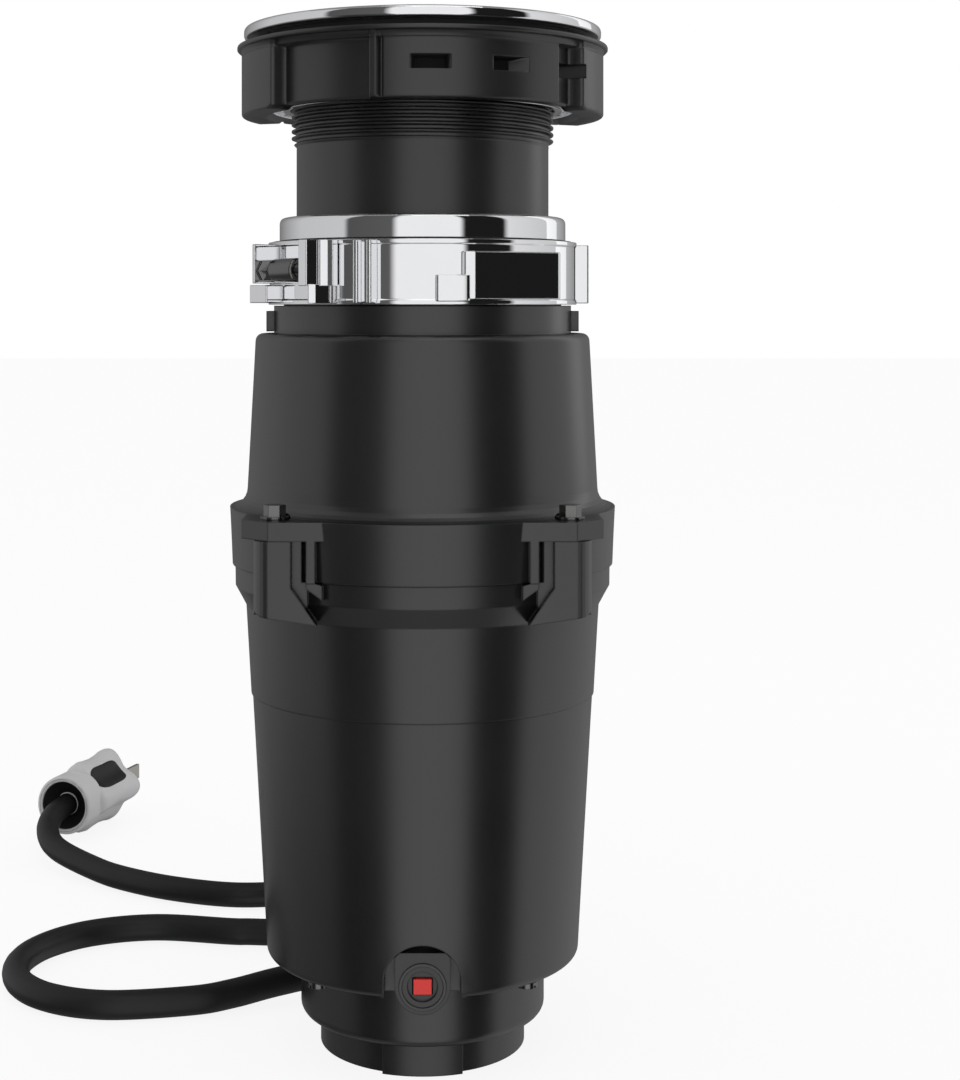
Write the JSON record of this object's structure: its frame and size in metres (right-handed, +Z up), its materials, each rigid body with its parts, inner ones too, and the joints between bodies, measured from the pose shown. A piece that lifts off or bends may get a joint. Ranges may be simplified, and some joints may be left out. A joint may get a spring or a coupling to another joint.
{
  "type": "kitchen garbage disposal",
  "caption": "Compact under-sink food waste disposer: motor, grind chamber, clamp mount, threaded sink flange with nut, drain elbow and power cord with plug.",
  "frame": {"origin": "centre of the foot's underside, on the shaft axis", "axes": "+Z up along the shaft axis towards the sink flange; -Y is the front, where the reset button is; +Y is the drain side"},
  "size_m": [0.2304, 0.3464, 0.3226],
  "materials": {
    "black_enamel": "satin black",
    "black_plastic": "fine moulded black",
    "elbow_plastic": "moulded black pipe",
    "black_rubber": "matte black rubber",
    "chrome": "bright plated",
    "steel": "ground",
    "stainless": "brushed stainless",
    "zinc": "zinc plated",
    "dark_steel": "blackened",
    "copper": "copper wire and bars",
    "brass": "pressed brass",
    "nickel": "nickel plated brass",
    "ferrite": "sintered",
    "lamination": "stacked sheet steel",
    "carbon": "carbon block",
    "brown_board": "phenolic board",
    "rectifier_case": "potted",
    "grey_trim": "dark grey",
    "red_plastic": "bright red",
    "fan_plastic": "moulded",
    "cord_jacket": "smooth black jacket",
    "silver_plastic": "silver grey moulded"
  },
  "bodies": {
    "housing": {"foot_ring": "black_plastic", "end_cap": "black_enamel", "lower_bearing": "steel", "motor_shell": "black_enamel", "motor_tie_screws": "dark_steel", "motor_can": "steel", "field_magnets": "ferrite", "brush_plate": "brown_board", "brush_holders": "brass", "carbon_brushes": "carbon", "brush_springs": "steel", "rectifier": "rectifier_case", "overload_switch": "black_plastic", "reset_face": "black_plastic", "reset_trim_ring": "grey_trim", "lower_housing": "black_enamel", "upper_bearing": "steel", "shaft_seal": "black_rubber", "housing_seal": "black_rubber", "upper_housing": "black_enamel", "housing_screws": "dark_steel", "grind_ring": "stainless", "splash_baffle": "black_rubber", "mount_cushion": "black_rubber", "support_ring": "chrome", "threaded_sleeve": "black_plastic", "sink_gasket": "black_rubber", "sink_flange": "chrome", "drain_gasket": "black_rubber", "drain_elbow": "elbow_plastic", "elbow_flange": "zinc", "elbow_screws": "zinc", "cord_box": "black_plastic", "cord_gland": "cord_jacket", "power_cord": "cord_jacket", "plug_body": "silver_plastic", "plug_blades": "nickel"},
    "rotor": {"shaft": "steel", "armature_core": "lamination", "armature_coils": "copper", "commutator": "copper", "cooling_fan": "fan_plastic", "slinger": "black_rubber", "turntable": "stainless", "turntable_nut": "zinc", "impeller_pins": "zinc"},
    "left_lug": {"impeller_left": "stainless"},
    "right_lug": {"impeller_right": "stainless"},
    "button": {"reset_button": "red_plastic"},
    "clamp": {"clamp_band": "chrome", "clamp_bracket": "chrome", "clamp_barrel": "dark_steel"},
    "tightener": {"clamp_screw": "dark_steel"},
    "thrust_ring": {"backup_ring": "chrome"},
    "nut": {"mount_nut": "black_plastic"}
  },
  "joints": [
    {"name": "rotor_spin", "type": "hinge", "parent": "housing", "child": "rotor", "pos_m": [0, 0, 0.1], "axis": [0, 0, 1], "continuous": true},
    {"name": "left_lug_swivel", "type": "hinge", "parent": "rotor", "child": "left_lug", "pos_m": [-0.03094, 0, 0.186], "axis": [0, 0, 1], "continuous": true},
    {"name": "right_lug_swivel", "type": "hinge", "parent": "rotor", "child": "right_lug", "pos_m": [0.03094, 0, 0.186], "axis": [0, 0, 1], "continuous": true},
    {"name": "reset_press", "type": "slide", "parent": "housing", "child": "button", "axis": [0, 1, 0], "range_m": [0, 0.002], "stiffness_N_per_m": 300, "springref_m": -0.0005},
    {"name": "clamp_turn", "type": "hinge", "parent": "housing", "child": "clamp", "pos_m": [0, 0, 0.2346], "axis": [0, 0, 1], "range_deg": [-15, 15]},
    {"name": "clamp_screw_turn", "type": "hinge", "parent": "clamp", "child": "tightener", "pos_m": [-0.04087, -0.03429, 0.24504], "axis": [0.6428, -0.766, 0], "continuous": true},
    {"name": "nut_feed", "type": "slide", "parent": "housing", "child": "thrust_ring", "axis": [0, 0, 1], "range_m": [-0.0088, 0]},
    {"name": "nut_turn", "type": "hinge", "parent": "thrust_ring", "child": "nut", "pos_m": [0, 0, 0.2955], "axis": [0, 0, 1], "range_deg": [-1440, 0]}
  ],
  "couplings": [
    {"joint": "nut_feed", "follows": "nut_turn", "m_per_rad": 0.00035014}
  ]
}
